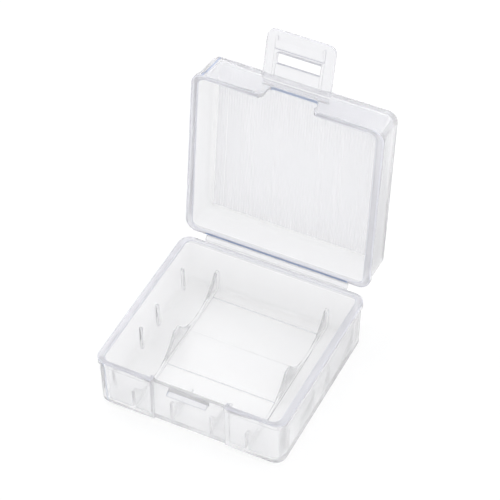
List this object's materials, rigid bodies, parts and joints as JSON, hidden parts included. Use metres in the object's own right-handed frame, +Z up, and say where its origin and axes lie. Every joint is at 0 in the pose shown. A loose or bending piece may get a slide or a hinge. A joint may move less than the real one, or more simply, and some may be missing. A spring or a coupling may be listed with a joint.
{
  "type": "battery storage box",
  "caption": "Moulded translucent case with a hinged lid and a snap latch, whose ribbed tray carries large cylindrical battery cells lying side by side.",
  "frame": {"origin": "middle of the base tray's underside, on the face it stands on", "axes": "+X along the hinge, +Y from the latch side of the tray to its hinge side, +Z up; the lid is shown open at rest"},
  "size_m": [0.075, 0.096, 0.1144],
  "materials": {
    "base_tray": "natural translucent polypropylene, satin moulded face",
    "hinge_web": "natural translucent polypropylene, flexed strap",
    "lid_shell": "natural translucent polypropylene, finely fluted panel",
    "latch_tab": "natural translucent polypropylene, satin moulded face"
  },
  "bodies": {
    "base": {"base_tray": "base_tray"},
    "web": {"hinge_web": "hinge_web"},
    "lid": {"lid_shell": "lid_shell"},
    "latch": {"latch_tab": "latch_tab"}
  },
  "joints": [
    {"name": "web_fold", "type": "hinge", "parent": "base", "child": "web", "pos_m": [0, 0.03619, 0.0203], "axis": [1, 0, 0], "range_deg": [-59.5, 30.5]},
    {"name": "lid_fold", "type": "hinge", "parent": "web", "child": "lid", "pos_m": [0, 0.03763, 0.02276], "axis": [1, 0, 0], "range_deg": [-24, 66]},
    {"name": "latch_fold", "type": "hinge", "parent": "lid", "child": "latch", "pos_m": [0, 0.05225, 0.09448], "axis": [1, 0, 0], "range_deg": [-37, 98]}
  ]
}
